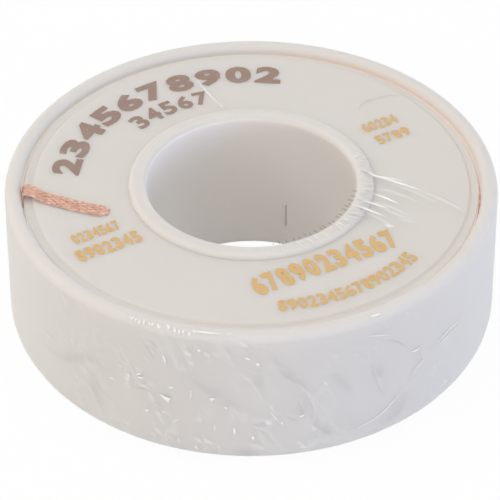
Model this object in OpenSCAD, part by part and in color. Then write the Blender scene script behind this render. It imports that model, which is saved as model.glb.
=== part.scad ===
// Spool of flat copper desoldering braid. A reel turns inside a round casing, the braid is wound on the
// reel's barrel, and its outer end comes up through the gap round the reel's disc and lies on the disc.
// A clear shrink film is drawn over the whole spool and leaves the bore open.
// The origin is under the middle of the spool, on the surface that it stands on. +Z is up.

/* [Casing] */
// Outside diameter of the casing
casing_d = 59.5; // [56:0.5:70]
// Height of the casing from its foot to its lip
casing_h = 20; // [18:0.5:26]
// Thickness of the casing's round wall, which is the width of its lip
wall_t = 1.95; // [1.95:0.05:2.4]
// Radius of the lip's outer edge
lip_outer_round = 1.1; // [0.6:0.1:1.1]
// Radius of the lip's inner edge
lip_inner_round = 0.8; // [0.3:0.1:0.8]
// Radius of the corner between the wall and the foot
foot_round = 3.4; // [1:0.1:4]
// Width of the flat ring that the casing stands on
foot_w = 2.7; // [1.5:0.1:3.5]
// Radius of the foot ring's inner edge
foot_inner_round = 0.8; // [0.3:0.1:0.9]
// How far the underside of the floor is set up from the foot
floor_recess = 1; // [1:0.1:1.4]
// Thickness of the floor
floor_t = 1.4; // [1:0.1:2]
// Radius inside the casing between its wall and its floor
floor_fillet = 1.5; // [0.5:0.1:2]

/* [Reel] */
// Diameter of the bore through the reel
bore_d = 25.4; // [22:0.2:28]
// Thickness of the hub's tube
hub_wall = 2.15; // [1.65:0.05:2.4]
// Radius of the bore's edge at both ends
mouth_round = 0.7; // [0.3:0.1:0.9]
// Radius of the collar's outer edge, above the disc
collar_round = 0.6; // [0.3:0.05:0.6]
// How far the winding barrel stands out from the tube
barrel_step = 0.6; // [0.3:0.1:1]
// Thickness of the disc under its face
disc_t = 1.4; // [1:0.1:2]
// How far the face lies below the casing's lip
face_recess = 0.75; // [0.7:0.05:0.9]
// How far the disc's outer ledge lies below its face
ledge_drop = 0.25; // [0.15:0.05:0.5]
// Width of the outer ledge
ledge_w = 0.95; // [0.6:0.05:1.6]
// Width of the slope between the ledge and the face
slope_w = 0.3; // [0.1:0.05:0.8]
// Radius of the disc's upper edge
disc_edge_round = 0.15; // [0.05:0.05:0.3]
// How far the snap bead under the casing's floor stands out from the tube
bead_out = 0.4; // [0.2:0.05:0.6]
// Height of the slit that holds the braid's inner end
slit_h = 3.3; // [2:0.1:4]
// Angle of that slit round the hub
slit_angle = 70; // [0:5:355]

/* [Clearances] */
// Clearance on each side of the braid where it comes out between the disc and the casing
gap_clear = 0.04; // [0.03:0.01:0.2]
// Clearance on each side of the braid in the hub's slit
slit_clear = 0.04; // [0.03:0.01:0.2]
// Radial running clearance between the hub and the hole in the casing's floor
run_clear = 0.08; // [0.03:0.01:0.1]
// Axial play of the reel at its shoulder and at its bead
axial_clear = 0.2; // [0.1:0.05:0.3]
// Clearance between the hub's ends and the film
end_clear = 0.1; // [0.05:0.05:0.15]
// Clearance between the winding and the reel
wind_clear = 0.1; // [0.05:0.05:0.2]
// Clearance between the loose turn and the disc above it
turn_clear = 0.3; // [0.2:0.05:0.6]

/* [Braid] */
// Length of the braid in millimetres
braid_len = 7500; // [3000:250:9000]
// Width of the braid
braid_w = 1.5; // [1:0.1:1.6]
// Thickness of the braid
braid_t = 0.22; // [0.16:0.02:0.4]
// Space between two turns side by side
row_gap = 0.1; // [0.05:0.05:0.2]
// Space between two layers
layer_gap = 0.03; // [0.01:0.01:0.06]
// Angle at which the braid comes out of the casing
exit_angle = 183.5; // [150:0.5:210]
// How many turns lie loose between the winding and the casing's wall
loose_turns = 1.5; // [1.25:0.25:2.5]
// Radius at which the braid turns up towards the gap
turn_up_r = 2; // [1.5:0.1:2.2]
// How far the braid's inner end stays back from the bore
end_back = 1; // [0.3:0.1:1.6]

/* [Film] */
// Thickness of the shrink film
film_t = 0.05; // [0.03:0.01:0.1]
// Gap between the film and the casing
film_gap = 0.05; // [0.03:0.01:0.1]
// How far the film's edge stays outside the bore
film_edge = 0.2; // [0.18:0.01:0.3]

/* [Hidden] */
$fn = 96;
over = 0.02; // overlap that keeps cuts and joined shapes clean

// Film and casing
wrap = film_t + film_gap;
foot_z = wrap;
lip_z = foot_z + casing_h;
film_r = casing_d / 2 + wrap;
film_z = lip_z + wrap;
wall_r = casing_d / 2;
wall_in_r = wall_r - wall_t;
foot_in_r = wall_r - foot_round - foot_w;
floor_low = foot_z + floor_recess;
floor_top = floor_low + floor_t;

// Reel
bore_r = bore_d / 2;
edge_gap = braid_t + 2 * gap_clear;
slit_w = braid_t + 2 * slit_clear;
tube_r = bore_r + hub_wall;
barrel_r = tube_r + barrel_step;
bead_r = tube_r + bead_out;
hub_low = film_t + end_clear;
hub_top = film_z - film_t - end_clear;
bead_low = hub_low + end_clear;
bead_top = floor_low - axial_clear;
bead_round = min(bead_out, bead_top - bead_low) * 0.7;
shoulder_z = floor_top + axial_clear;
face_z = lip_z - face_recess;
ledge_z = face_z - ledge_drop;
disc_low = face_z - disc_t;
disc_r = wall_in_r - edge_gap;
step_r = disc_r - ledge_w;
face_r = step_r - slope_w;

// Winding: the number of rows that fit, then the layers that the length fills
row_pitch = braid_w + row_gap;
layer_pitch = braid_t + layer_gap;
wind_low = shoulder_z + wind_clear;
wind_in_r = barrel_r + wind_clear;
rows = floor((disc_low - wind_clear - wind_low + row_gap) / row_pitch);
function layer_len(i) = rows * 2 * PI * (wind_in_r + (i + 0.5) * layer_pitch);
function layers_for(len, i = 0) =
    len <= layer_len(i) ? i + len / layer_len(i) : layers_for(len - layer_len(i), i + 1);
run_r = wall_in_r - edge_gap / 2;
loose_len = loose_turns * PI * (run_r + wind_in_r + 8 * layer_pitch);
layers = layers_for(braid_len - loose_len);
full_layers = floor(layers);
part_rows = round((layers - full_layers) * rows);
wind_out_r = wind_in_r + (full_layers + (part_rows > 0 ? 1 : 0)) * layer_pitch;
function row_z(i) = wind_low + braid_w / 2 + i * row_pitch;
anchor_row = 1;
slit_z = row_z(anchor_row);

// Loose turn: it leaves the top row, spirals out to the wall and then runs along it
turn_z = disc_low - turn_clear - braid_w / 2;
turn_end = exit_angle - turn_up_r / run_r * 180 / PI;
turn_start = turn_end - 360 * loose_turns;
turn_steps = ceil(60 * loose_turns);
spread_share = 0.6; // share of the loose turns in which the braid reaches the wall
leave_r = wind_out_r + braid_t / 2 + wind_clear;
function ease(x) = x * x * (3 - 2 * x);
function mix(a, b, x) = a + (b - a) * x;

// Tail: way in from the gap, way sideways, and stage of its rise and fall, along the middle of the braid.
// Stage 0 is the top of the turn up, 1 the top of the hump under the film, and 2 flat on the disc's face.
TAIL = [
    [0, 0, 0],
    [0.05, 0.05, 0.45],
    [0.3, 0.15, 0.8],
    [0.75, 0.35, 1],
    [1.3, 0.6, 1.05],
    [2, 0.95, 1.45],
    [2.8, 1.35, 1.9],
    [3.6, 1.75, 2],
    [5, 2.45, 2],
    [6.8, 3.3, 2],
    [8.6, 4, 2],
    [10.3, 4.55, 2]
];
bend_z = turn_z + turn_up_r;
hump_z = lip_z + film_gap - end_clear - braid_t / 2;
lie_z = face_z + 0.02 + braid_t / 2;
function tail_z(stage) = stage < 1 ? mix(bend_z, hump_z, stage) : mix(hump_z, lie_z, stage - 1);

casing_colour = "#E2E0DA";
reel_colour = "#DCD9D4";
copper_colour = "#CF8F6B";
film_colour = [0.93, 0.95, 0.97, 0.25];

function out_dir(a) = [cos(a), sin(a), 0];
function round_dir(a) = [-sin(a), cos(a), 0];
function unit(v) = v / norm(v);

// Takes the material's corner at p off to a radius. The corner points along s, such as [1, -1].
module round_off(p, s, r) {
    low = [s.x > 0 ? p.x - r : p.x - over, s.y > 0 ? p.y - r : p.y - over];
    difference() {
        translate(low) square(r + over);
        translate(p - r * s) circle(r);
    }
}

// Fills an inside corner at p to a radius. The free space lies along s.
module fill_in(p, s, r) {
    low = [s.x > 0 ? p.x - over : p.x - r, s.y > 0 ? p.y - over : p.y - r];
    difference() {
        translate(low) square(r + over);
        translate(p + r * s) circle(r);
    }
}

module block(r_in, r_out, z_low, z_high) {
    translate([r_in, z_low]) square([r_out - r_in, z_high - z_low]);
}

// A flat braid swept through rings, each a centre, the direction of its width and that of its thickness
module strip(rings) {
    w = braid_w / 2;
    t = braid_t / 2;
    c = braid_t * 0.3;
    section = [[w, -t + c], [w, t - c], [w - c, t], [-w + c, t], [-w, t - c], [-w, -t + c], [-w + c, -t],
               [w - c, -t]];
    n = len(section);
    last = (len(rings) - 1) * n;
    points = [for (ring = rings) for (s = section) ring[0] + s.x * ring[1] + s.y * ring[2]];
    sides = [for (i = [0:len(rings) - 2]) for (j = [0:n - 1])
        let (a = i * n + j, b = i * n + (j + 1) % n)
        each [[a, a + n, b + n], [a, b + n, b]]];
    caps = [[for (j = [0:n - 1]) j], [for (j = [n - 1:-1:0]) last + j]];
    polyhedron(points, concat(sides, caps));
}

// One point of a curve through the points p, at u counted in points
function curve_point(p, u) =
    let (n = len(p) - 1, i = min(n - 1, floor(u)), f = u - i,
         a = p[max(0, i - 1)], b = p[i], c = p[i + 1], d = p[min(n, i + 2)])
    0.5 * (2 * b + (c - a) * f + (2 * a - 5 * b + 4 * c - d) * f * f + (3 * b - a - 3 * c + d) * f * f * f);

module casing() {
    color(casing_colour) rotate_extrude() difference() {
        union() {
            block(tube_r + run_clear, wall_r, floor_low, floor_top);
            block(foot_in_r, wall_r, foot_z, floor_top);
            block(wall_in_r, wall_r, foot_z, lip_z);
            fill_in([wall_in_r, floor_top], [-1, 1], floor_fillet);
        }
        round_off([wall_r, lip_z], [1, 1], lip_outer_round);
        round_off([wall_in_r, lip_z], [-1, 1], lip_inner_round);
        round_off([wall_r, foot_z], [1, -1], foot_round);
        round_off([foot_in_r, foot_z], [-1, -1], foot_inner_round);
    }
}

module reel() {
    color(reel_colour) difference() {
        rotate_extrude() difference() {
            union() {
                block(bore_r, tube_r, hub_low, hub_top);
                block(bore_r, bead_r, bead_low, bead_top);
                block(bore_r, barrel_r, shoulder_z, disc_low + over);
                block(bore_r, disc_r, disc_low, ledge_z);
                block(bore_r, face_r, disc_low, face_z);
                polygon([[face_r - over, disc_low], [step_r, disc_low], [step_r, ledge_z], [face_r, face_z],
                         [face_r - over, face_z]]);
            }
            round_off([bore_r, hub_top], [-1, 1], mouth_round);
            round_off([bore_r, hub_low], [-1, -1], mouth_round);
            round_off([tube_r, hub_top], [1, 1], collar_round);
            round_off([bead_r, bead_low], [1, -1], bead_round);
            round_off([disc_r, ledge_z], [1, 1], disc_edge_round);
        }
        rotate([0, 0, slit_angle]) translate([bore_r / 2, -slit_w / 2, slit_z - slit_h / 2])
            cube([barrel_r, slit_w, slit_h]);
    }
}

// One turn of the braid, flat on the layer below it, which it enters a little
module turn_section(layer, row) {
    r_in = wind_in_r + layer * layer_pitch;
    edge = braid_t * 0.3;
    difference() {
        block(r_in - layer_pitch / 2, r_in + braid_t, row_z(row) - braid_w / 2, row_z(row) + braid_w / 2);
        for (s = [-1, 1])
            round_off([r_in + braid_t, row_z(row) + s * braid_w / 2], [1, s], edge);
    }
}

module braid_winding() {
    color(copper_colour) rotate_extrude() {
        block(wind_in_r, wind_in_r + (full_layers - 1) * layer_pitch, row_z(0) - braid_w / 2,
              row_z(rows - 1) + braid_w / 2);
        for (row = [0:rows - 1])
            turn_section(full_layers - 1, row);
        if (part_rows > 0)
            for (row = [rows - part_rows:rows - 1])
                turn_section(full_layers, row);
    }
}

module braid_loose_turn() {
    rings = [for (i = [0:turn_steps])
        let (u = i / turn_steps, a = mix(turn_start, turn_end, u), x = ease(min(1, u / spread_share)))
        [mix(leave_r, run_r, x) * out_dir(a) + [0, 0, mix(row_z(rows - 1), turn_z, x)],
         [0, 0, 1],
         out_dir(a)]];
    color(copper_colour) strip(rings);
}

module braid_tail() {
    bend_steps = 8;
    sub_steps = 3;
    bend = [for (i = [0:bend_steps])
        let (b = 90 * i / bend_steps, a = turn_end + turn_up_r * sin(b) / run_r * 180 / PI)
        [run_r * out_dir(a) + [0, 0, turn_z + turn_up_r * (1 - cos(b))],
         cos(b) * [0, 0, 1] - sin(b) * round_dir(a),
         out_dir(a)]];
    steps = (len(TAIL) - 1) * sub_steps;
    centres = [for (i = [0:steps])
        let (p = curve_point(TAIL, i / sub_steps))
        (run_r - p.x) * out_dir(exit_angle) + p.y * round_dir(exit_angle) + [0, 0, tail_z(p.z)]];
    lie = [for (i = [1:steps])
        let (way = unit(centres[min(steps, i + 1)] - centres[i - 1]),
             across = -round_dir(exit_angle),
             width = unit(across - (across * way) * way))
        [centres[i], width, cross(way, width)]];
    color(copper_colour) strip(concat(bend, lie));
}

module braid_inner_end() {
    color(copper_colour) rotate([0, 0, slit_angle])
        translate([bore_r + end_back, -braid_t / 2, slit_z - braid_w / 2])
            cube([wind_in_r - over - bore_r - end_back, braid_t, braid_w]);
}

// The film's section, grown inwards by the inset
module film_outline(inset) {
    low = [bore_r - end_clear - film_t + inset, inset];
    high = [film_r - inset, film_z - inset];
    mouth = mouth_round + end_clear + film_t - inset;
    difference() {
        block(low.x, high.x, low.y, high.y);
        round_off(high, [1, 1], lip_outer_round + wrap - inset);
        round_off([high.x, low.y], [1, -1], foot_round + wrap - inset);
        round_off([low.x, high.y], [-1, 1], mouth);
        round_off(low, [-1, -1], mouth);
    }
}

module shrink_film() {
    color(film_colour) rotate_extrude() difference() {
        film_outline(0);
        film_outline(film_t);
        block(0, bore_r + film_edge, -over, film_z + over);
    }
}

casing();
reel();
braid_winding();
braid_loose_turn();
braid_tail();
braid_inner_end();
shrink_film();
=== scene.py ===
import random
from math import acos, atan2, copysign, cos, degrees, dist, hypot, pi, radians, sin, sqrt

import bpy
from bpy.props import FloatProperty, IntProperty, PointerProperty, StringProperty
from mathutils import Matrix, Vector


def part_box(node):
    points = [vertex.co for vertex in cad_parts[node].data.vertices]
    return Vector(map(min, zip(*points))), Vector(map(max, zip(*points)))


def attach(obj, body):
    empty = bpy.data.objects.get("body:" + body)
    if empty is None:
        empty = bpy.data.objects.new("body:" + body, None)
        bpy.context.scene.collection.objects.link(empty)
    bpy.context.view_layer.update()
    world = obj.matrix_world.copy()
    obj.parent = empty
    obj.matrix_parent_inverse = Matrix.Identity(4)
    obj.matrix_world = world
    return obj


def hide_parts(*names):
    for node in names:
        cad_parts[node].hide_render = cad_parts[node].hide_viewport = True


bl_info = {
    "name": "Desoldering braid spool",
    "version": (1, 0, 0),
    "blender": (4, 5, 0),
    "location": "View3D > Sidebar > Braid Spool",
    "description": "Dresses a reel of flat copper braid in its casing and shrink film",
    "category": "Add Mesh",
}

MM = 0.001
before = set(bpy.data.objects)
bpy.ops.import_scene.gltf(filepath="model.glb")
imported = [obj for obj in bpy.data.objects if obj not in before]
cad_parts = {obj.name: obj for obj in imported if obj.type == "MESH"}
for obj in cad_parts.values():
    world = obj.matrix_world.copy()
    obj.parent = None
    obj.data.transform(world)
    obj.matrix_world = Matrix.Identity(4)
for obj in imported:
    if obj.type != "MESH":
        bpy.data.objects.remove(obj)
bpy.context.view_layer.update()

CASING_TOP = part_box("casing")[1].z
TURN_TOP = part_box("braid_loose_turn")[1].z
FILM_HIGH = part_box("shrink_film")[1]

# The height of the disc's face, the radius at which the braid runs in the gap round the disc, the angle
# at which it comes out, the angle of the hub's slit and the radius of the braid's turn up, as in the solids
FACE_Z = 19.35 * MM
RUN_R = 27.65 * MM
EXIT = radians(183.5)
SLIT = radians(70)
TURN_UP = 2 * MM


# ---------------- helpers


def tools():
    return bpy.context.scene.braid_spool


def linear(colour):
    """The linear RGBA of an sRGB hex colour such as #C08060."""
    parts = [int(colour[i : i + 2], 16) / 255 for i in (1, 3, 5)]
    return [c / 12.92 if c <= 0.04045 else ((c + 0.055) / 1.055) ** 2.4 for c in parts] + [1.0]


def add_node(tree, kind, inputs=None, **settings):
    """Adds a shader node with its settings. An input takes a value, a link or a node's first output."""
    node = tree.nodes.new("ShaderNode" + kind)
    for key, value in settings.items():
        setattr(node, key, value)
    for key, value in (inputs or {}).items():
        if isinstance(value, bpy.types.Node):
            value = value.outputs[0]
        if isinstance(value, bpy.types.NodeSocket):
            tree.links.new(value, node.inputs[key])
        else:
            node.inputs[key].default_value = value
    return node


def new_material(name, surface, *values, **named):
    """A material with the nodes that a surface function adds to its tree."""
    material = bpy.data.materials.new(name)
    material.use_nodes = True
    tree = material.node_tree
    tree.nodes.clear()
    add_node(tree, "OutputMaterial", {"Surface": surface(tree, *values, **named)})
    return material


def deselect():
    if bpy.context.object and bpy.context.object.mode != "OBJECT":
        bpy.ops.object.mode_set(mode="OBJECT")
    bpy.ops.object.select_all(action="DESELECT")


def only(piece):
    deselect()
    piece.select_set(True)
    bpy.context.view_layer.objects.active = piece
    return piece


def out_dir(angle):
    return Vector((cos(angle), sin(angle), 0))


def round_dir(angle):
    return Vector((-sin(angle), cos(angle), 0))


def ease(x):
    x = min(1.0, max(0.0, x))
    return x * x * (3 - 2 * x)


def arc_points(centre, radius, start, end, steps):
    """Points [r, z] of an arc in the section, from one angle to another in degrees."""
    angles = [radians(start + (end - start) * i / steps) for i in range(steps + 1)]
    return [(centre[0] + radius * cos(a), centre[1] + radius * sin(a)) for a in angles]


def spaced(points, step):
    """The same section with its long straight runs cut into steps."""
    result = [points[0]]
    for a, b in zip(points, points[1:]):
        count = max(1, round(dist(a, b) / step))
        for i in range(1, count + 1):
            result.append((a[0] + (b[0] - a[0]) * i / count, a[1] + (b[1] - a[1]) * i / count))
    return result


def turned_shell(name, section, segments):
    """Extrudes a ring from point to point of a section [r, z] in metres, as on a lathe."""
    deselect()
    r, z = section[0]
    bpy.ops.mesh.primitive_circle_add(vertices=segments, radius=r, location=(0, 0, z))
    shell = bpy.context.object
    shell.name = shell.data.name = name
    bpy.ops.object.transform_apply(location=True, rotation=True, scale=True)
    bpy.ops.object.mode_set(mode="EDIT")
    bpy.ops.mesh.select_all(action="SELECT")
    for next_r, next_z in section[1:]:
        bpy.ops.mesh.extrude_region_move(TRANSFORM_OT_translate={"value": (0, 0, next_z - z)})
        if abs(next_r - r) > 1e-9:
            scale = next_r / r
            bpy.ops.transform.resize(value=(scale, scale, 1), center_override=(0, 0, next_z))
        r, z = next_r, next_z
    bpy.ops.mesh.select_all(action="SELECT")
    bpy.ops.mesh.normals_make_consistent(inside=False)
    bpy.ops.object.mode_set(mode="OBJECT")
    bpy.ops.object.shade_smooth()
    return shell


def strands_mesh(name, strands, radius, resolution=1):
    """A mesh of round strands. Each strand is a list of points, with an optional thickness factor each."""
    curve = bpy.data.curves.new(name, "CURVE")
    curve.dimensions = "3D"
    curve.bevel_depth = radius
    curve.bevel_resolution = resolution
    curve.use_fill_caps = True
    for points in strands:
        spline = curve.splines.new("POLY")
        spline.points.add(len(points) - 1)
        for target, source in zip(spline.points, points):
            target.co = (*source[:3], 1)
            target.radius = source[3] if len(source) > 3 else 1
    piece = bpy.data.objects.new(name, curve)
    bpy.context.scene.collection.objects.link(piece)
    only(piece)
    bpy.ops.object.convert(target="MESH")
    piece = bpy.context.object
    piece.name = piece.data.name = name
    bpy.ops.object.shade_smooth()
    return piece


def run_through(points):
    """A smooth run through a few points, in six steps from each to the next."""
    result = []
    last = len(points) - 1
    for i in range(last):
        a, b, c, d = (Vector(points[max(0, min(last, i + k))]) for k in (-1, 0, 1, 2))
        bend = 2 * a - 5 * b + 4 * c - d
        twist = 3 * b - a - 3 * c + d
        for k in range(6):
            f = k / 6
            result.append(0.5 * (2 * b + (c - a) * f + bend * f**2 + twist * f**3))
    return result + [Vector(points[-1])]


def joined(parts, name):
    """Joins pieces into one of that name."""
    only(parts[0])
    for part in parts[1:]:
        part.select_set(True)
    bpy.ops.object.join()
    piece = bpy.context.object
    piece.name = piece.data.name = name
    return piece


# ---------------- materials

# The share of the gap's painted glow that the slit's walls give, and how much the film's folds and facets
# shine as painted sheen and glints
SLIT_PAINTED_GLOW = 0.35
FOLD_SHINE, FACET_SHINE = 0.13, 0.4


def toned(colour, share):
    """The linear RGBA of an sRGB hex colour, lighter or darker by a share."""
    return [min(1.0, c * (1 + share)) for c in linear(colour)[:3]] + [1.0]


def eased_mask(tree, *limits):
    """A product of ramps, each easing from 0 at its value's first limit to 1 at its second."""
    mask = 1.0
    for value, none, full in limits:
        ramp = add_node(
            tree,
            "MapRange",
            {"Value": value, "From Min": none, "From Max": full},
            interpolation_type="SMOOTHSTEP",
        )
        mask = add_node(tree, "Math", {0: mask, 1: ramp}, operation="MULTIPLY")
    return mask


def copper_tint_and_painted_light(tree, flat, radius, glow):
    """How much of a tint lies on thin plastic: copper that shows through it on the casing, and painted light
    on the reel's bore wall.

    It fades out over a reach from a ring, both in mm. It is full up to one angle in degrees off a middle
    angle and gone at another.
    """
    ring, reach, middle, full, gone = glow
    way = add_node(tree, "VectorMath", {0: flat}, operation="NORMALIZE")
    facing = add_node(
        tree, "VectorMath", {0: way, 1: out_dir(radians(middle))}, operation="DOT_PRODUCT"
    ).outputs["Value"]
    near = (radius, (ring + reach) * MM, ring * MM)
    around = (facing, cos(radians(gone)), cos(radians(full)))
    return eased_mask(tree, near, around)


def drawn_out(tree, place, way, share):
    """The same place with its distance along a unit vector cut to a share, to draw a pattern out."""
    along = add_node(tree, "VectorMath", {0: place, 1: way}, operation="DOT_PRODUCT").outputs["Value"]
    cut = add_node(tree, "Math", {0: along, 1: share - 1}, operation="MULTIPLY")
    moved = add_node(tree, "VectorMath", {0: way, "Scale": cut}, operation="SCALE")
    return add_node(tree, "VectorMath", {0: place, 1: moved}, operation="ADD")


def painted_glow_walls(tree, place, height, radius):
    """Where painted glow lightens shade: 1 on the walls of the gap round the reel's disc, less on the hub's
    slit, and 0 elsewhere.
    """
    off = add_node(tree, "Math", {0: radius, 1: RUN_R}, operation="SUBTRACT")
    off = add_node(tree, "Math", {0: off}, operation="ABSOLUTE")
    # the gap's walls are 0.15 mm to each side of the braid's run, and light up 0.6 mm below the face
    gap = eased_mask(tree, (off, 0.25 * MM, 0.17 * MM), (height, FACE_Z - 0.33 * MM, FACE_Z - 0.6 * MM))
    aside = add_node(
        tree, "VectorMath", {0: place, 1: round_dir(SLIT)}, operation="DOT_PRODUCT"
    ).outputs["Value"]
    aside = add_node(tree, "Math", {0: aside}, operation="ABSOLUTE")
    # the slit's walls are 0.15 mm to each side of its middle, and light up behind the bore's own wall
    inside, outside = (radius, 12.72 * MM, 12.78 * MM), (radius, 15 * MM, 14.6 * MM)
    slit = eased_mask(tree, (aside, 0.2 * MM, 0.16 * MM), inside, outside)
    slit = add_node(tree, "Math", {0: slit, 1: SLIT_PAINTED_GLOW}, operation="MULTIPLY")
    both = add_node(tree, "Math", {0: gap, 1: slit}, operation="MAXIMUM")
    # only walls, not the faces beside them
    normal = add_node(tree, "NewGeometry").outputs["Normal"]
    up = add_node(tree, "SeparateXYZ", {"Vector": normal}).outputs["Z"]
    up = add_node(tree, "Math", {0: up}, operation="ABSOLUTE")
    wall = eased_mask(tree, (up, 0.8, 0.3))
    return add_node(tree, "Math", {0: both, 1: wall}, operation="MULTIPLY")


def moulded_polystyrene(tree, colour, roughness, mottle, tint, glow):
    """Polystyrene, injection moulded: off-white, a little translucent, with a faint satin skin."""
    place = add_node(tree, "TexCoord").outputs["Object"]
    x, y, height = add_node(tree, "SeparateXYZ", {"Vector": place}).outputs
    flat = add_node(tree, "CombineXYZ", {"X": x, "Y": y})
    radius = add_node(tree, "VectorMath", {0: flat}, operation="LENGTH").outputs["Value"]
    # flow marks of the moulding, some 6 mm across
    clouds = add_node(tree, "TexNoise", {"Vector": place, "Scale": 1 / (6 * MM), "Detail": 3.0})
    # the copper inside shows faintly where the casing's plastic is thin; on the reel's bore wall this tint
    # is painted light
    copper = copper_tint_and_painted_light(tree, flat, radius, glow)
    # painted glow: the walls on both sides of the gap and the slit give off light, to lighten their shade
    thin = painted_glow_walls(tree, place, height, radius)
    tone = add_node(
        tree, "Mix", {0: clouds, 6: toned(colour, -mottle), 7: toned(colour, mottle)}, data_type="RGBA"
    ).outputs[2]
    # the tint over it: copper on the casing, and painted light on the reel's bore wall
    tone = add_node(tree, "Mix", {0: copper, 6: tone, 7: linear(tint)}, data_type="RGBA").outputs[2]
    # the painted glow's colour: pale on those walls and black elsewhere
    through = add_node(
        tree, "Mix", {0: thin, 6: linear("#000000"), 7: linear("#FFF6F0")}, data_type="RGBA"
    ).outputs[2]
    # the skin of the mould: polished steel leaves waves about 0.5 mm wide
    skin = add_node(tree, "TexNoise", {"Vector": place, "Scale": 1 / (0.5 * MM), "Detail": 2.0})
    rough = add_node(
        tree, "MapRange", {"Value": skin, "To Min": roughness - 0.04, "To Max": roughness + 0.06}
    )
    bump = add_node(tree, "Bump", {"Height": skin, "Strength": 0.05, "Distance": 0.02 * MM})
    return add_node(
        tree,
        "BsdfPrincipled",
        {
            "Base Color": tone,
            "Roughness": rough,
            "IOR": 1.59,
            "Subsurface Weight": 0.85,
            "Subsurface Radius": (1.0, 0.95, 0.9),
            "Subsurface Scale": 2 * MM,
            # the painted glow on the walls of the gap and the slit
            "Emission Color": through,
            "Emission Strength": 0.22,
            "Normal": bump,
        },
    )


def printed_ink(tree, colour):
    """Pad-printed ink: a thin matt coat that lies unevenly, so its tone wavers over half a millimetre."""
    place = add_node(tree, "TexCoord").outputs["Object"]
    cover = add_node(tree, "TexNoise", {"Vector": place, "Scale": 1 / (0.5 * MM), "Detail": 3.0})
    ramp = add_node(tree, "ValToRGB", {"Fac": cover})
    for stop, share in zip(ramp.color_ramp.elements, (-0.12, 0.12)):
        stop.color = toned(colour, share)
    rough = add_node(tree, "MapRange", {"Value": cover, "To Min": 0.42, "To Max": 0.58})
    return add_node(tree, "BsdfPrincipled", {"Base Color": ramp, "Roughness": rough, "IOR": 1.5})


def bare_copper(tree, colour, flux_colour):
    """Bare copper wire, drawn fine and fluxed: a soft satin shine, with browner flux between the strands."""
    place = add_node(tree, "TexCoord").outputs["Object"]
    # flux gathers in patches about half a millimetre across
    flux = add_node(tree, "TexNoise", {"Vector": place, "Scale": 1 / (0.5 * MM), "Detail": 4.0})
    ramp = add_node(tree, "ValToRGB", {"Fac": flux})
    for stop, position, tone in zip(ramp.color_ramp.elements, (0.36, 0.62), (flux_colour, colour)):
        stop.position = position
        stop.color = linear(tone)
    rough = add_node(tree, "MapRange", {"Value": flux, "To Min": 0.55, "To Max": 0.36})
    return add_node(tree, "BsdfPrincipled", {"Base Color": ramp, "Metallic": 1.0, "Roughness": rough})


def wound_copper(tree, colour, flux_colour):
    """The same braid as a wound coil: its turns lie row on row, and its weave crosses in a herringbone."""
    place = add_node(tree, "TexCoord").outputs["Object"]
    x, y, z = add_node(tree, "SeparateXYZ", {"Vector": place}).outputs
    angle = add_node(tree, "Math", {0: y, 1: x}, operation="ARCTAN2")
    # the carriers cross every 0.6 mm round the coil, at 19 mm radius, and every 0.42 mm up it
    along = add_node(tree, "Math", {0: angle, 1: 19 / 0.6 * pi}, operation="MULTIPLY")
    up = add_node(tree, "Math", {0: z, 1: pi / (0.42 * MM)}, operation="MULTIPLY")
    heights = []
    for operation in ("ADD", "SUBTRACT"):
        phase = add_node(tree, "Math", {0: along, 1: up}, operation=operation)
        heights.append(add_node(tree, "Math", {0: phase}, operation="SINE"))
    weave = add_node(tree, "Math", dict(enumerate(heights)), operation="MAXIMUM")
    ramp = add_node(tree, "ValToRGB", {"Fac": weave})
    for stop, tone in zip(ramp.color_ramp.elements, (flux_colour, colour)):
        stop.color = linear(tone)
    bump = add_node(tree, "Bump", {"Height": weave, "Strength": 0.6, "Distance": 0.05 * MM})
    return add_node(
        tree, "BsdfPrincipled", {"Base Color": ramp, "Metallic": 1.0, "Roughness": 0.42, "Normal": bump}
    )


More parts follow.
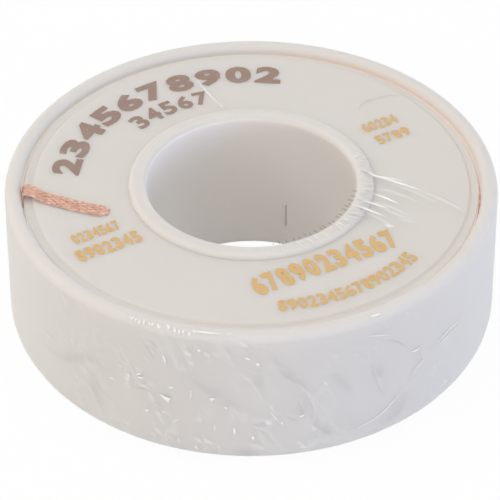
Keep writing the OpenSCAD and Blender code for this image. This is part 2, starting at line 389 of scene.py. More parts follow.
def clear_film(tree, haze, ripple):
    """Polyolefin film, blown and heat shrunk: clear, with a sharp shine that breaks up on its creases, and
    painted sheen and glints where it is crumpled.
    """
    place = add_node(tree, "TexCoord").outputs["Object"]
    crumple = add_node(tree, "Attribute", attribute_name="crumple").outputs["Fac"]
    # fine puckers of the shrunk film, 1.2 mm apart, strongest where it is crumpled
    puckers = add_node(
        tree, "TexNoise", {"Vector": place, "Scale": 1 / (1.2 * MM), "Detail": 4.0, "Distortion": 0.6}
    )
    share = add_node(tree, "Math", {0: crumple, 1: ripple, 2: 0.03}, operation="MULTIPLY_ADD")
    bump = add_node(tree, "Bump", {"Height": puckers, "Strength": share, "Distance": 0.12 * MM})
    # the clean film mirrors 3 % and its haze head on, and 2 % more at a slant
    slant = add_node(tree, "LayerWeight", {"Blend": 0.5, "Normal": bump}).outputs["Facing"]
    steep = add_node(tree, "Math", {0: slant, 1: 5.0}, operation="POWER")
    clean = add_node(tree, "Math", {0: steep, 1: 0.02, 2: 0.03 + haze}, operation="MULTIPLY_ADD")
    # painted sheen: soft folds some 3 mm apart and drawn out to three times that towards the foot, in
    # patches of 5 mm, where the white mirroring film is made more opaque
    winding = add_node(
        tree,
        "TexNoise",
        {
            "Vector": drawn_out(tree, place, (0.55, 0, -0.84), 0.35),
            "Scale": 1 / (3.2 * MM),
            "Detail": 3.0,
            "Distortion": 0.5,
        },
    )
    off = add_node(tree, "Math", {0: winding, 1: 0.5}, operation="SUBTRACT")
    off = add_node(tree, "Math", {0: off}, operation="ABSOLUTE")
    fold = eased_mask(tree, (off, 0.07, 0.0))
    fold = add_node(tree, "Math", {0: fold, 1: FOLD_SHINE}, operation="MULTIPLY")
    gather = add_node(tree, "TexNoise", {"Vector": place, "Scale": 1 / (5 * MM), "Detail": 1.0})
    patch = eased_mask(tree, (gather, 0.42, 0.62))
    # painted glints: crushed facets 0.8 mm across and twice as long, of which three in ten are made more
    # opaque, so that they mirror white
    facets = add_node(
        tree, "TexVoronoi", {"Vector": drawn_out(tree, place, (0.8, 0, -0.6), 0.5), "Scale": 1 / (0.8 * MM)}
    )
    draw = add_node(tree, "SeparateColor", {"Color": facets.outputs["Color"]})
    glint = eased_mask(tree, (draw, 0.7, 1.0), (facets, 0.6, 0.1))
    marks = add_node(tree, "Math", {0: glint, 1: FACET_SHINE, 2: fold}, operation="MULTIPLY_ADD")
    marks = add_node(tree, "Math", {0: marks, 1: patch}, operation="MULTIPLY")
    # the painted sheen and glints raise the film's opacity where it is crumpled
    opacity = add_node(tree, "Math", {0: marks, 1: crumple, 2: clean}, operation="MULTIPLY_ADD")
    clear = add_node(tree, "BsdfTransparent")
    shine = add_node(
        tree,
        "BsdfPrincipled",
        {"Base Color": linear("#FFFFFF"), "Metallic": 0.8, "Roughness": 0.2, "Normal": bump},
    )
    return add_node(tree, "MixShader", {0: opacity, 1: clear, 2: shine})


def folded_film(tree, colour, roughness, metallic):
    """The same film along its creases and folds, as a white mirror for painted highlights and as grey for
    painted shade; it shows most along the middle of the fold.
    """
    rise = add_node(tree, "Attribute", attribute_name="rise").outputs["Fac"]
    clear = add_node(tree, "BsdfTransparent")
    fold = add_node(
        tree,
        "BsdfPrincipled",
        {"Base Color": linear(colour), "Roughness": roughness, "Metallic": metallic, "IOR": 1.5},
    )
    return add_node(tree, "MixShader", {0: rise, 1: clear, 2: fold})


def finish_node(name, material):
    """Gives a CAD node its finish, over every material slot that it came with."""
    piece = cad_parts[name]
    piece.data.materials.clear()
    piece.data.materials.append(material)
    return piece


# ---------------- the user's values


class SpoolSizes(bpy.types.PropertyGroup):
    braid_width: FloatProperty(
        name="Braid width", description="Width of the flat braid", default=1.5 * MM, unit="LENGTH"
    )
    braid_thickness: FloatProperty(
        name="Braid thickness", description="Thickness of the flat braid", default=0.22 * MM, unit="LENGTH"
    )
    carriers: IntProperty(
        name="Carriers", description="Bundles of strands in the braid, both ways round", default=16
    )
    strands: IntProperty(
        name="Strands", description="Strands shown in each carrier of the free end", default=3
    )
    ink_thickness: FloatProperty(
        name="Ink thickness", description="Thickness of the printed ink", default=0.02 * MM, unit="LENGTH"
    )
    film_thickness: FloatProperty(
        name="Film thickness", description="Thickness of the shrink film", default=0.04 * MM, unit="LENGTH"
    )
    label_turn: FloatProperty(
        name="Label turn",
        description="Angle that the print is turned on the reel",
        default=radians(29.5),
        subtype="ANGLE",
    )


class SpoolColours(bpy.types.PropertyGroup):
    casing: StringProperty(name="Casing", description="Casing plastic, sRGB", default="#DBD8D4")
    reel: StringProperty(name="Reel", description="Reel plastic, sRGB", default="#DEDBD6")
    casing_glow: StringProperty(
        name="Casing over copper", description="Casing with copper behind it, sRGB", default="#E2D6CE"
    )
    # the reel's bore wall, painted lighter: painted light
    reel_painted_light: StringProperty(
        name="Reel, painted light", description="Reel painted lighter on the bore's wall, sRGB", default="#F8F4F2"
    )
    brown_ink: StringProperty(name="Brown ink", description="Brown print, sRGB", default="#917160")
    orange_ink: StringProperty(name="Orange ink", description="Orange print, sRGB", default="#DEB25E")
    copper: StringProperty(name="Copper", description="Bare strands, sRGB", default="#FFD6C0")
    flux: StringProperty(name="Flux", description="Fluxed strands, sRGB", default="#E4AF95")


class BraidSpool(bpy.types.PropertyGroup):
    sizes: PointerProperty(type=SpoolSizes)
    colours: PointerProperty(type=SpoolColours)


# ---------------- pieces


class SPOOL_OT_casing(bpy.types.Operator):
    """Gives the moulded casing its finish"""

    bl_idname = "spool.casing"
    bl_label = "Casing"

    def execute(self, context):
        colours = tools().colours
        # the loose turn shows through the lip, most at 30 degrees
        finish = new_material(
            "casing polystyrene, moulded",
            moulded_polystyrene,
            colour=colours.casing,
            roughness=0.42,
            mottle=0.012,
            tint=colours.casing_glow,
            glow=(27.75, 0.4, 30, 42, 70),
        )
        finish_node("casing", finish)
        return {"FINISHED"}


class SPOOL_OT_reel(bpy.types.Operator):
    """Gives the moulded reel its finish"""

    bl_idname = "spool.reel"
    bl_label = "Reel"

    def execute(self, context):
        colours = tools().colours
        # painted light: the bore's wall is painted lighter, most on the side where the braid comes out
        finish = new_material(
            "reel polystyrene, moulded",
            moulded_polystyrene,
            colour=colours.reel,
            roughness=0.4,
            mottle=0.015,
            tint=colours.reel_painted_light,
            glow=(12.72, 0.16, 180, 36, 180),
        )
        finish_node("reel", finish)
        return {"FINISHED"}


# The way of the braid's free end, as the solid's: in from the gap and sideways, in mm, and the stage of
# its rise and fall: 0 at the top of the turn up, 1 at the top of the hump and 2 flat on the disc's face.
TAIL = [
    (0, 0, 0), (0.05, 0.05, 0.45), (0.3, 0.15, 0.8), (0.75, 0.35, 1), (1.3, 0.6, 1.05), (2, 0.95, 1.45),
    (2.8, 1.35, 1.9), (3.6, 1.75, 2), (5, 2.45, 2), (6.8, 3.3, 2), (8.6, 4, 2), (10.3, 4.55, 2),
]

# The free end's strands, in metres: their radius and the step between their points. Then the length of
# the braid in which a strand goes round it, in girths; the share of the girth that the strands of a
# carrier cover; how far a strand rises and falls in the weave, in its radii; and the shares by which
# the braid spreads out of the gap and narrows at its cut end.
STRAND_R = 0.042 * MM
STRAND_STEP = 0.13 * MM
LAY = 3.0
COVER = 0.68
RISE = 0.8
SPREAD = 0.36
PINCH = 0.45


def tail_frames():
    """Frames along the free end: its middle, the way of its width and the way of its thickness."""
    thickness, width = tools().sizes.braid_thickness, tools().sizes.braid_width
    turn_z = TURN_TOP - width / 2
    bend_z = turn_z + TURN_UP
    hump_z = CASING_TOP - 0.05 * MM - thickness / 2
    lie_z = FACE_Z + 0.02 * MM + thickness / 2
    turn_end = EXIT - TURN_UP / RUN_R
    up = Vector((0, 0, 1))
    frames = []
    # a quarter turn from the run in the gap to the way up
    for i in range(9):
        b = pi / 2 * i / 8
        a = turn_end + TURN_UP * sin(b) / RUN_R
        middle = RUN_R * out_dir(a) + (turn_z + TURN_UP * (1 - cos(b))) * up
        frames.append((middle, cos(b) * up - sin(b) * round_dir(a), out_dir(a)))
    centres = []
    for inward, aside, stage in run_through(TAIL):
        z = bend_z + (hump_z - bend_z) * stage if stage < 1 else hump_z + (lie_z - hump_z) * (stage - 1)
        centres.append((RUN_R - inward * MM) * out_dir(EXIT) + aside * MM * round_dir(EXIT) + z * up)
    across = -round_dir(EXIT)
    for i in range(1, len(centres)):
        way = (centres[min(len(centres) - 1, i + 1)] - centres[i - 1]).normalized()
        wide = (across - across.dot(way) * way).normalized()
        frames.append((centres[i], wide, way.cross(wide)))
    return resampled(frames)


def resampled(frames):
    """The same frames at an even step along their middles, each with its distance along."""
    lengths = [0.0]
    for a, b in zip(frames, frames[1:]):
        lengths.append(lengths[-1] + (b[0] - a[0]).length)
    count = max(2, round(lengths[-1] / STRAND_STEP))
    result, i = [], 0
    for k in range(count + 1):
        s = lengths[-1] * k / count
        while i < len(lengths) - 2 and lengths[i + 1] < s:
            i += 1
        f = (s - lengths[i]) / max(1e-12, lengths[i + 1] - lengths[i])
        middle, wide, thick = (a.lerp(b, f) for a, b in zip(frames[i], frames[i + 1]))
        result.append((middle, wide.normalized(), thick.normalized(), s))
    return result


def woven(frames):
    """The strands of a flat braid that follow frames, over two and under two."""
    sizes = tools().sizes
    half_w = sizes.braid_width / 2 - STRAND_R
    half_t = sizes.braid_thickness / 2 - STRAND_R
    flat = 2 * (half_w - half_t)
    girth = 2 * flat + 2 * pi * half_t
    each_way = sizes.carriers // 2
    lay = girth * LAY
    length = frames[-1][3]

    def round_section(u):
        """The point of the braid's flat tube at share u of its girth, and its outward way."""
        d = (u % 1.0) * girth
        side = 1 if d < girth / 2 else -1
        d %= girth / 2
        if d < flat:
            return side * (d - flat / 2), side * half_t, 0.0, side
        b = pi / 2 - (d - flat) / half_t
        nx, ny = side * cos(b), side * sin(b)
        return side * flat / 2 + half_t * nx, half_t * ny, nx, ny

    chance = random.Random(4)
    strands = []
    for way in (1, -1):
        for carrier in range(each_way):
            for strand in range(sizes.strands):
                off = (strand - (sizes.strands - 1) / 2) * COVER / sizes.strands / each_way
                wobble = chance.uniform(0, 6.28)
                points = []
                for middle, wide, thick, s in frames:
                    u = carrier / each_way + off + way * s / lay
                    u += 0.004 * sin(s / (0.9 * MM) + wobble)
                    x, y, nx, ny = round_section(u)
                    # each carrier passes over two of the other way, then under two
                    phase = way * 0.5 * (1 + carrier) + each_way * s / lay
                    lift = STRAND_R * RISE * sin(pi * phase)
                    # out of the gap the braid spreads a little, and its cut end is pressed together
                    narrow = 1 + SPREAD * ease((s - 2 * MM) / (1.5 * MM))
                    narrow *= 1 - PINCH * ease(1 - (length - s) / (1.3 * MM)) ** 2
                    points.append(middle + wide * (x + nx * lift) * narrow + thick * (y + ny * lift))
                strands.append(points)
    return strands


class SPOOL_OT_braid_tail(bpy.types.Operator):
    """Weaves the braid's free end from copper strands"""

    bl_idname = "spool.braid_tail"
    bl_label = "Braid, free end"

    def execute(self, context):
        colours = tools().colours
        tail = strands_mesh("braid_free_end", woven(tail_frames()), STRAND_R)
        copper = new_material("copper strand, drawn and fluxed", bare_copper, colours.copper, colours.flux)
        tail.data.materials.append(copper)
        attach(tail, "reel")
        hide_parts("braid_tail")
        return {"FINISHED"}


class SPOOL_OT_braid_turns(bpy.types.Operator):
    """Gives the wound coil, its loose turn and its inner end their woven copper finish"""

    bl_idname = "spool.braid_turns"
    bl_label = "Braid, wound"

    def execute(self, context):
        colours = tools().colours
        coil = new_material("copper braid, wound", wound_copper, colours.copper, colours.flux)
        for name in ("braid_winding", "braid_loose_turn", "braid_inner_end"):
            finish_node(name, coil)
        return {"FINISHED"}


# Rows of plain figures: text, ink and cap height in mm, and where they stand. An arc row has its
# baseline's radius in mm, the angles of its first and last figures in degrees, the weight that its
# strokes gain and a factor on its figures' width. A line row has its start and its length in mm, in the
# label's own axes, and its weight.
FIGURE_ARCS = [
    ("2345678902", "brown", 3.5, 20.95, 171, 84.5, 0.052, 1.14),
    ("34567", "brown", 2.7, 17.35, 137.5, 109.5, 0.034, 1.06),
    ("8902345678902345", "orange", 2.1, 24.45, 278.8, 322.8, 0.034, 1.04),
]
FIGURE_LINES = [
    ("67890234567", "orange", 3.5, (-9.8, -19.2), 19.6, 0.046),
    ("0234567", "orange", 1.9, (-23.9, -0.05), 6.4, 0.036),
    ("8902345", "orange", 2.3, (-24.9, -3.35), 8.6, 0.042),
    ("60234", "orange", 1.9, (17.4, 1.9), 4.9, 0.034),
    ("5789", "orange", 1.85, (17.6, -1.0), 4.8, 0.034),
]

# The share of its pitch that a figure takes up in an arc row and in a line row
ARC_SHARE, LINE_SHARE = 0.82, 0.84


class SPOOL_OT_print(bpy.types.Operator):
    """Prints plain figures on the reel's face"""

    bl_idname = "spool.print"
    bl_label = "Print"

    def figure(self, letter, cap, weight, width):
        """One figure as a flat solid of a size in mm, its baseline's middle at the origin."""
        deselect()
        bpy.ops.object.text_add()
        text = bpy.context.object.data
        text.body = letter
        text.align_x = "CENTER"
        text.offset = weight
        text.resolution_u = 3
        text.extrude = 0.5
        bpy.ops.object.convert(target="MESH")
        glyph = bpy.context.object
        xs = [vertex.co.x for vertex in glyph.data.vertices]
        ys = [vertex.co.y for vertex in glyph.data.vertices]
        across = width * MM / (max(xs) - min(xs))
        tall = cap * MM / (max(ys) - min(ys))
        seated = Matrix.Translation((-(max(xs) + min(xs)) / 2, -min(ys), 0.5))
        glyph.data.transform(Matrix.Diagonal((across, tall, tools().sizes.ink_thickness, 1)) @ seated)
        return glyph

    def execute(self, context):
        colours, label = tools().colours, tools().sizes.label_turn
        inks = {
            "brown": new_material("brown ink, pad printed", printed_ink, colours.brown_ink),
            "orange": new_material("orange ink, pad printed", printed_ink, colours.orange_ink),
        }
        glyphs = {"brown": [], "orange": []}
        for text, ink, cap, radius, first, last, weight, spread in FIGURE_ARCS:
            step = radians(last - first) / (len(text) - 1)
            # in a row that runs clockwise the figures' tops are outwards, and in the other inwards
            upright = copysign(pi / 2, step)
            for i, letter in enumerate(text):
                angle = radians(first) + step * i
                glyph = self.figure(letter, cap, weight, ARC_SHARE * min(cap, abs(step) * radius) * spread)
                spot = radius * MM * out_dir(angle) + Vector((0, 0, FACE_Z))
                turn = Matrix.Rotation(angle + upright, 4, "Z")
                glyph.data.transform(Matrix.Translation(spot) @ turn)
                glyphs[ink].append(glyph)
        for text, ink, cap, start, length, weight in FIGURE_LINES:
            pitch = length / len(text)
            for i, letter in enumerate(text):
                glyph = self.figure(letter, cap, weight, pitch * LINE_SHARE)
                spot = Vector(((start[0] + pitch * (i + 0.5)) * MM, start[1] * MM, FACE_Z))
                glyph.data.transform(Matrix.Rotation(label, 4, "Z") @ Matrix.Translation(spot))
                glyphs[ink].append(glyph)
        for ink, parts in glyphs.items():
            figures = joined(parts, "print_" + ink)
            bpy.ops.object.mode_set(mode="EDIT")
            bpy.ops.mesh.select_all(action="SELECT")
            bpy.ops.mesh.remove_doubles(threshold=1e-7)
            bpy.ops.mesh.normals_make_consistent(inside=False)
            bpy.ops.object.mode_set(mode="OBJECT")
            figures.data.materials.clear()
            figures.data.materials.append(inks[ink])
            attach(figures, "reel")
        return {"FINISHED"}


# The film's outer skin: the radii of its rounds at the lip, at the foot and over the bore's mouth, the
# least radius that the mouth's round would reach, and the radius of the cut edge
FILM_LIP, FILM_FOOT, FILM_MOUTH = 1.2 * MM, 3.5 * MM, 0.85 * MM
MOUTH_R = 12.55 * MM
FILM_EDGE = 12.9 * MM


def film_section():
    """The film's outer section [r, z] from its edge on the bottom of the hub to the one on the collar."""
    r, top = FILM_HIGH.x, FILM_HIGH.z
    mouth_r = MOUTH_R + FILM_MOUTH
    start = degrees(acos((mouth_r - FILM_EDGE) / FILM_MOUTH))
    return (
        arc_points((mouth_r, FILM_MOUTH), FILM_MOUTH, 180 + start, 270, 4)
        + arc_points((r - FILM_FOOT, FILM_FOOT), FILM_FOOT, -90, 0, 14)
        + arc_points((r - FILM_LIP, top - FILM_LIP), FILM_LIP, 0, 90, 10)
        + arc_points((mouth_r, top - FILM_MOUTH), FILM_MOUTH, 90, 180 - start, 4)
    )


def film_skin(point):
    """How far a point is outside the film's surface, and the surface's outward way there."""
    r, z = hypot(point.x, point.y), point.z
    out = Vector((point.x / r, point.y / r, 0))
    up = Vector((0, 0, 1))
    edge, top = FILM_HIGH.x, FILM_HIGH.z
    # each round has its centre and radius, and the ways out and up in which it lies from there
    for centre_r, centre_z, radius, outward, upward in (
        (edge - FILM_LIP, top - FILM_LIP, FILM_LIP, 1, 1),
        (edge - FILM_FOOT, FILM_FOOT, FILM_FOOT, 1, -1),
        (MOUTH_R + FILM_MOUTH, top - FILM_MOUTH, FILM_MOUTH, -1, 1),
    ):
        if (r - centre_r) * outward > 0 and (z - centre_z) * upward > 0:
            way = (r - centre_r) * out + (z - centre_z) * up
            return way.length - radius, way.normalized()
    return (z - top, up) if z > top - 1.5 * MM and r < edge - FILM_LIP else (r - edge, out)


def on_wall(angle, height):
    """The point of the film's wall at an angle in degrees and a height in mm."""
    z = height * MM
    radius, off = 0, 0
    if z > FILM_HIGH.z - FILM_LIP:
        radius, off = FILM_LIP, z - FILM_HIGH.z + FILM_LIP
    elif z < FILM_FOOT:
        radius, off = FILM_FOOT, FILM_FOOT - z
    r = FILM_HIGH.x - radius + sqrt(max(0, radius**2 - off**2))
    return r * out_dir(radians(angle)) + Vector((0, 0, z))


def on_top(x, y):
    """The point of the film's top at x and y in mm, over the mouth's round too."""
    point = Vector((x * MM, y * MM, FILM_HIGH.z))
    for i in range(6):
        point.z -= film_skin(point)[0]
    return point


def film_ridges(name, softness, half, strength, strands):
    """Low ridges of the film along strands of points, with how much each point of them shows.

    A softness of 0 leaves the strands round and even, for loose edges that stand off the film.
    """
    tapered = []
    for points in strands:
        last = len(points) - 1
        sizes = [sin(pi * (0.06 + 0.88 * i / last)) ** 0.7 for i in range(last + 1)]
        tapered.append([(*point, size) for point, size in zip(points, sizes)])
    piece = strands_mesh(name, tapered, half * MM, 2)
    if softness:
        # only the part that stands out of the film is kept
        for vertex in piece.data.vertices:
            vertex.select = film_skin(vertex.co)[0] < -0.1 * half * MM
        bpy.ops.object.mode_set(mode="EDIT")
        bpy.ops.mesh.delete(type="VERT")
        bpy.ops.object.mode_set(mode="OBJECT")
    rise = piece.data.attributes.new("rise", "FLOAT", "POINT")
    for vertex, value in zip(piece.data.vertices, rise.data):
        if not softness:
            value.value = strength
            continue
        away, way = film_skin(vertex.co)
        # the ridge is pressed down to three tenths of its height
        vertex.co -= away * 0.7 * way
        value.value = strength * min(1.0, max(0.0, away / (half * MM))) ** softness
    return piece


# Creases as low ridges of film that turn into a white mirror, as painted highlights: half width in mm,
# strength, the runs on the wall as (angle in degrees, height in mm), and the runs on the top as (x, y) in
# mm.
PAINTED_HIGHLIGHT_CREASES = [
    (0.15, 1.0, [
        [(256.2, 20.02), (259.7, 20.04), (263.4, 20.04)], [(241.2, 11.7), (241.7, 11.2)],
        [(236.3, 10.0), (237.9, 9.95)], [(243.3, 11.9), (244.7, 12.4)], [(243.5, 11.6), (245.4, 11.8)],
        [(249.9, 16.2), (250.4, 15.6), (250.7, 14.8)], [(251.2, 11.3), (252.5, 11.5)],
        [(260.6, 10.6), (262.0, 10.7)], [(260.8, 10.7), (261.3, 10.3)], [(263.9, 9.6), (264.6, 9.3)],
        [(266.0, 6.6), (266.3, 5.3)], [(257.2, 3.1), (257.6, 2.5)], [(270.2, 5.3), (270.4, 4.6)],
        [(268.4, 17.2), (269.9, 16.8)], [(280.6, 7.8), (281.2, 7.8), (282.0, 8.1)],
        [(276.5, 7.3), (277.0, 6.8)], [(308.4, 12.6), (310.0, 12.3), (311.5, 12.5)],
        [(297.5, 20.0), (300.6, 19.95)],
    ], []),
    (0.22, 1.0, [], [
        [(13.23, 1.51), (14.13, 1.25), (15.01, 0.39), (16.8, -0.1), (18.74, -0.76)],
        [(15.01, 0.39), (17.74, -0.99), (20.62, -2.6)], [(14.6, -3.06), (16.07, -3.95), (17.68, -5.19)],
        [(13.07, -4.31), (14.72, -5.12), (16.45, -6.16)],
        [(12.21, -5.4), (13.19, -5.78), (14.56, -6.68), (15.95, -7.61)],
        [(15.76, -9.17), (16.78, -9.54)],
    ]),
    (0.24, 1.0, [
        [(248.8, 9.9), (249.8, 9.8), (250.7, 9.4), (251.4, 8.9)],
        [(250.1, 9.8), (251.2, 9.6), (251.7, 9.4)], [(258.0, 17.7), (258.8, 17.8)],
        [(270.9, 16.25), (271.8, 16.1)], [(245.4, 6.9), (246.3, 7.0)],
    ], []),
    (0.14, 0.6, [
        [(264.4, 20.05), (265.6, 20.08)], [(238.7, 12.3), (240.1, 12.5)],
        [(242.8, 10.8), (244.9, 10.6), (246.8, 10.3)], [(246.0, 17.3), (246.9, 17.3)],
        [(249.4, 7.4), (250.3, 7.3)], [(252.0, 6.2), (253.7, 6.8)], [(261.7, 6.7), (261.8, 5.7)],
        [(253.2, 3.9), (253.5, 3.0)], [(256.5, 11.6), (256.3, 9.9)], [(230.5, 10.6), (231.3, 10.7)],
        [(270.4, 6.7), (271.7, 6.4)], [(296.3, 17.7), (299.8, 17.2), (304.2, 16.3)],
        [(315.3, 10.9), (317.8, 11.5), (320.8, 12.0), (324.2, 12.0), (329.0, 11.5)],
        [(316.8, 10.8), (321.9, 11.2), (327.6, 11.2)],
        [(293.3, 3.6), (295.8, 4.2), (298.5, 4.5), (301.3, 5.2),
         (304.0, 6.2), (306.0, 6.9), (308.0, 7.3)],
        [(274.3, 8.9), (275.3, 7.9), (276.4, 7.1)],
    ], [
        [(11.45, -6.63), (12.52, -7.06), (13.58, -7.47)],
        [(10.75, -7.83), (11.19, -8.19), (11.9, -8.6)], [(13.0, -2.62), (14.16, -2.96)],
        [(-7.17, 21.18), (-5.4, 17.6), (-2.99, 13.52)], [(-3.75, 15.2), (-3.4, 14.7)],
    ]),
    (0.34, 0.3, [
        [(214.1, 10.2), (218.4, 10.6)], [(269.1, 4.0), (271.7, 3.7)],
        [(271.1, 6.7), (272.4, 6.4), (273.9, 5.7)],
        [(310.5, 12.8), (312.7, 10.4), (311.9, 9.9), (310.5, 9.6), (309.3, 8.8), (308.4, 8.0)],
        [(298.1, 13.2), (299.1, 11.1), (300.6, 9.0), (302.6, 6.8)],
        [(288.5, 7.3), (291.1, 5.6), (294.0, 3.7)],
        [(277.1, 14.3), (279.3, 13.2), (281.8, 11.8), (283.2, 10.4),
         (284.0, 9.1), (284.1, 7.6), (283.7, 6.0)],
        [(284.1, 5.9), (285.9, 4.9), (287.9, 3.5)],
    ], [
        [(17.42, -8.1), (19.77, -8.81)], [(20.6, -2.75), (22.93, -4.4), (25.48, -6.85)],
        [(15.3, -5.9), (17.2, -7.1), (19.0, -8.3)], [(14.4, -4.4), (16.8, -5.9), (18.9, -7.6)],
        [(15.0, -1.9), (17.3, -3.0), (20.2, -4.9)], [(13.4, -6.6), (15.2, -8.0), (17.0, -9.6)],
        [(16.4, -0.9), (19.6, -2.9), (22.4, -5.2)],
    ]),
]
# Painted shade, in the same way: grey ridges of film along its folds and dark lines.
PAINTED_SHADE_FOLDS = [
    (0.2, 0.09, [
        [(244.8, 17.7), (247.1, 16.0), (248.0, 14.9)], [(246.5, 18.1), (248.1, 17.3), (249.4, 16.6)],
        [(241.3, 9.6), (244.6, 10.1), (246.6, 10.2)], [(247.7, 8.8), (250.1, 7.9)],
        [(299.6, 16.5), (301.8, 16.0), (304.3, 15.2), (306.3, 14.1), (308.6, 12.8)],
        [(276.8, 8.3), (279.3, 7.4), (280.4, 7.5)],
    ], [
        [(20.63, -2.35), (22.96, -3.97), (25.52, -6.41)],
    ]),
    (0.9, 0.05, [
        [(212.7, 9.0), (217.9, 8.5), (223.5, 9.3), (229.5, 11.3), (233.2, 11.5), (236.9, 10.7)],
        [(253.5, 14.1), (257.6, 13.0), (261.0, 11.8), (263.5, 11.6), (265.9, 11.7)],
        [(262.2, 10.4), (264.9, 10.3), (267.4, 9.8)], [(231.1, 10.1), (232.1, 7.4), (235.0, 3.8)],
        [(271.4, 15.3), (271.5, 13.7), (272.1, 11.9)],
        [(273.9, 18.1), (276.7, 15.6), (279.5, 13.8), (282.5, 12.5)],
        [(287.6, 14.1), (290.1, 12.1), (293.0, 9.6)], [(285.5, 6.0), (287.8, 4.2)],
        [(298.9, 12.8), (300.3, 10.8)], [(265.8, 3.2), (268.8, 2.5), (272.0, 1.6)],
    ], [
        [(14.2, 15.0), (15.3, 15.8)],
        [(9.9, -10.7), (12.6, -7.4), (14.2, -3.2), (14.5, 0.4), (14.0, 4.0), (12.4, 7.6)],
    ]),
    (0.34, 0.12, [], [
        [(13.52, 12.5), (13.36, 13.4), (13.51, 14.45), (13.84, 15.08), (14.39, 15.65), (15.49, 16.18),
         (16.92, 16.85), (18.13, 16.91), (19.24, 16.7), (20.76, 15.63), (22.59, 13.58)],
    ]),
    (1.2, 0.05, [
        [(308.1, 6.4), (306.0, 5.2), (303.7, 4.0), (300.7, 3.0)],
        [(278.6, 8.6), (281.0, 9.0), (283.0, 8.6)],
    ], []),
]


class SPOOL_OT_shrink_film(bpy.types.Operator):
    """Draws the clear shrink film over the spool"""

    bl_idname = "spool.shrink_film"
    bl_label = "Shrink film"

    def execute(self, context):
        film = turned_shell("shrink_film_skin", spaced(film_section(), 0.45 * MM), 360)
        crumple = film.data.attributes.new("crumple", "FLOAT", "POINT")
        for vertex, value in zip(film.data.vertices, crumple.data):
            angle = degrees(atan2(vertex.co.y, vertex.co.x)) % 360
            radius = hypot(vertex.co.x, vertex.co.y)
            # the wall is crumpled at its front and, less, at its right, and the rest hardly
            front = ease(1 - abs(angle - 262) / 55)
            side = ease(1 - abs(angle - 320) / 30)
            wall = ease((radius - 27 * MM) / (2.5 * MM))
            value.value = 0.08 + 0.92 * wall * max(front, 0.45 * side)
        only(film)
        wall = film.modifiers.new("wall", "SOLIDIFY")
        wall.thickness, wall.offset = tools().sizes.film_thickness, -1
        bpy.ops.object.modifier_apply(modifier="wall")
        clear = new_material("polyolefin film, heat shrunk", clear_film, haze=0.012, ripple=0.9)
        film.data.materials.append(clear)
        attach(film, "casing")
        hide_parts("shrink_film")
        return {"FINISHED"}


class SPOOL_OT_film_creases(bpy.types.Operator):
    """Creases, folds and pleats the shrink film, with painted highlights and painted shade along them"""

    bl_idname = "spool.film_creases"
    bl_label = "Film creases"

    def nicks(self, chance):
        """Short ticks across the lip at the front left, white as painted highlights."""
        ticks, angle = [], 240.6
        while angle < 256:
            angle += chance.uniform(0.6, 1.5)
            high = chance.uniform(19.95, 20.13)
            lean, drop = chance.choice(((0.35, 0.4), (-0.3, 0.3), (0.9, 0.05), (0.6, 0.2)))
            ends = [(angle, high), (angle + lean, high - drop)]
            ticks.append([on_wall(*point) for point in run_through(ends)])
        return ticks

    def pleats(self, chance):
        """Short pleats out from the film's cut edge, white as painted highlights: plain ones, and strong
        ones at the front right.
        """
        plain, strong = [], []
        inner = 13.0
        angle = 0.0
        while angle < 360:
            front = cos(radians(angle + 28))
            angle += chance.uniform(1.6, 3.0) if front > 0.7 else chance.uniform(3, 6)
            reach = 13.6 + max(0.2, front) * chance.uniform(0.3, 2.6)
            lean = chance.uniform(-3, 2)
            ends = [(inner, angle), ((inner + reach) / 2, angle + lean / 2), (reach, angle + lean)]
            run = [on_top(r * cos(radians(a)), r * sin(radians(a))) for r, a in ends]
            (strong if front > 0.7 and chance.random() < 0.6 else plain).append(run)
        return plain, strong

    def fringe(self, chance):
        """Loose threads of film that reach in from its cut edge at the front right, grey with painted shade.
        """
        threads = []
        edge = Vector((0, 0, FILM_HIGH.z - 0.17 * MM))
        for i in range(20):
            way = out_dir(radians(282 + 3.5 * i + chance.uniform(-1.0, 1.0)))
            tip = chance.uniform(12.1, 12.6)
            threads.append([r * MM * way + edge for r in (tip, (tip + 13.0) / 2, 13.0)])
        return threads

    def execute(self, context):
        chance = random.Random(11)
        ticks = self.nicks(chance)
        plain, strong = self.pleats(chance)
        threads = self.fringe(chance)
        # a white mirror film gives painted highlights on the creases, the ticks and the pleats
        white = new_material("polyolefin film, white for painted highlights", folded_film, "#FFFFFF", 0.25, 0.9)
        # a grey film gives painted shade on the folds, the dark lines and the threads
        double = new_material("polyolefin film, grey for painted shade", folded_film, "#6A625C", 0.35, 0.0)
        # each piece: its material, the softness and the table of its runs, and its other ridges
        kinds = {
            "film_creases": (
                white,
                1.2,
                PAINTED_HIGHLIGHT_CREASES,
                [(1, 0.16, 0.9, ticks), (1.2, 0.1, 0.35, plain), (1.2, 0.16, 0.55, strong)],
            ),
            "film_folds": (double, 3, PAINTED_SHADE_FOLDS, [(0, 0.06, 0.2, threads)]),
        }
        for name, (material, softness, groups, others) in kinds.items():
            parts = [film_ridges(name, *other) for other in others]
            for half, strength, walls, tops in groups:
                strands = [[on_wall(*point) for point in run_through(run)] for run in walls]
                strands += [[on_top(*point) for point in run_through(run)] for run in tops]
                parts.append(film_ridges(name, softness, half, strength, strands))
            ridges = joined(parts, name)
            ridges.data.materials.append(material)
            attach(ridges, "casing")
        return {"FINISHED"}


# ---------------- stage

# Each lamp: its name, place in metres, width in metres, power in watts and colour
LAMPS = (
    ("key light", (-0.46, -0.22, 0.52), 0.6, 1.85, "#FFF0E2"),
    ("side light", (0.62, -0.35, 0.06), 0.3, 2.0, "#B4CCFF"),
)
LAMPS_AIM = Vector((0, 0, 0.01))
CAMERA_PLACE = (0, -0.318247, 0.262520)
CAMERA_TURN = (51.4731, 0.0888, -0.0409)
CAMERA_LENS = 238.602


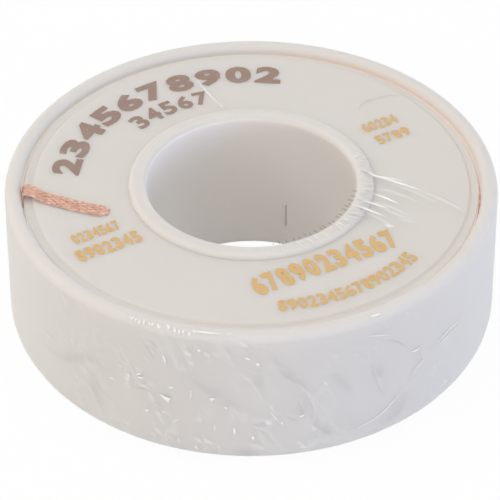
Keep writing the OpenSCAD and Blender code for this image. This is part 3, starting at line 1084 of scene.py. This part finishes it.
def seen_plain(tree):
    """1 where a surface is seen straight by the camera or in a gloss, and 0 elsewhere."""
    path = add_node(tree, "LightPath")
    rays = {0: path.outputs["Is Camera Ray"], 1: path.outputs["Is Glossy Ray"]}
    return add_node(tree, "Math", rays, operation="MAXIMUM")


def studio_white(tree):
    """The floor: matt white paper, which the camera and glossy surfaces see as nearly plain white."""
    share = add_node(tree, "Math", {0: seen_plain(tree), 1: 0.96}, operation="MULTIPLY")
    paper = add_node(tree, "BsdfDiffuse", {"Color": linear("#F5F5F5")})
    glow = add_node(tree, "Emission", {"Color": linear("#FFFFFF"), "Strength": 1.0})
    return add_node(tree, "MixShader", {0: share, 1: paper, 2: glow})


class SPOOL_OT_stage(bpy.types.Operator):
    """Sets up the floor, the lights and the camera"""

    bl_idname = "spool.stage"
    bl_label = "Stage"

    def execute(self, context):
        deselect()
        bpy.ops.mesh.primitive_plane_add(size=6, location=(0, 0, -0.02 * MM))
        floor = bpy.context.object
        floor.name = "floor"
        bpy.ops.object.transform_apply(location=True, rotation=True, scale=True)
        floor.data.materials.append(new_material("white paper sweep", studio_white))

        world = bpy.data.worlds.new("soft studio")
        context.scene.world = world
        world.use_nodes = True
        tree = world.node_tree
        tree.nodes.clear()
        white = linear("#FFFFFF")
        around = add_node(tree, "Background", {"Color": white, "Strength": 0.72})
        plain = add_node(tree, "Background", {"Color": white, "Strength": 1.0})
        surface = add_node(tree, "MixShader", {0: seen_plain(tree), 1: around, 2: plain})
        add_node(tree, "OutputWorld", {"Surface": surface})

        for name, place, width, power, colour in LAMPS:
            deselect()
            bpy.ops.object.light_add(type="AREA", location=place)
            lamp = bpy.context.object
            lamp.name = name
            lamp.data.shape = "DISK"
            lamp.data.size = width
            lamp.data.energy = power
            lamp.data.color = linear(colour)[:3]
            lamp.visible_glossy = False
            lamp.rotation_mode = "QUATERNION"
            lamp.rotation_quaternion = (LAMPS_AIM - Vector(place)).to_track_quat("-Z", "Y")

        deselect()
        bpy.ops.object.camera_add(location=CAMERA_PLACE)
        camera = bpy.context.object
        camera.rotation_euler = [radians(angle) for angle in CAMERA_TURN]
        camera.data.sensor_width = 36
        camera.data.lens = CAMERA_LENS
        camera.data.clip_start, camera.data.clip_end = 0.01, 20
        context.scene.camera = camera
        context.scene.view_settings.view_transform = "Standard"
        return {"FINISHED"}


class SPOOL_PT_panel(bpy.types.Panel):
    """Lists the spool's pieces"""

    bl_label = "Braid Spool"
    bl_idname = "SPOOL_PT_panel"
    bl_space_type = "VIEW_3D"
    bl_region_type = "UI"
    bl_category = "Braid Spool"

    def draw(self, context):
        for group in (tools().sizes, tools().colours):
            for key in group.bl_rna.properties.keys():
                if key not in ("rna_type", "name"):
                    self.layout.prop(group, key)
        for operator in OPERATORS:
            self.layout.operator(operator.bl_idname)


OPERATORS = (
    SPOOL_OT_stage, SPOOL_OT_casing, SPOOL_OT_reel, SPOOL_OT_print, SPOOL_OT_braid_turns,
    SPOOL_OT_braid_tail, SPOOL_OT_shrink_film, SPOOL_OT_film_creases,
)
CLASSES = (SpoolSizes, SpoolColours, BraidSpool, *OPERATORS, SPOOL_PT_panel)


def register():
    for item in CLASSES:
        bpy.utils.register_class(item)
    bpy.types.Scene.braid_spool = PointerProperty(type=BraidSpool)


def unregister():
    del bpy.types.Scene.braid_spool
    for item in reversed(CLASSES):
        bpy.utils.unregister_class(item)


def main():
    register()
    bpy.ops.spool.stage()
    bpy.ops.spool.casing()
    bpy.ops.spool.reel()
    bpy.ops.spool.print()
    bpy.ops.spool.braid_turns()
    bpy.ops.spool.braid_tail()
    bpy.ops.spool.shrink_film()
    bpy.ops.spool.film_creases()


if __name__ == "__main__":
    main()
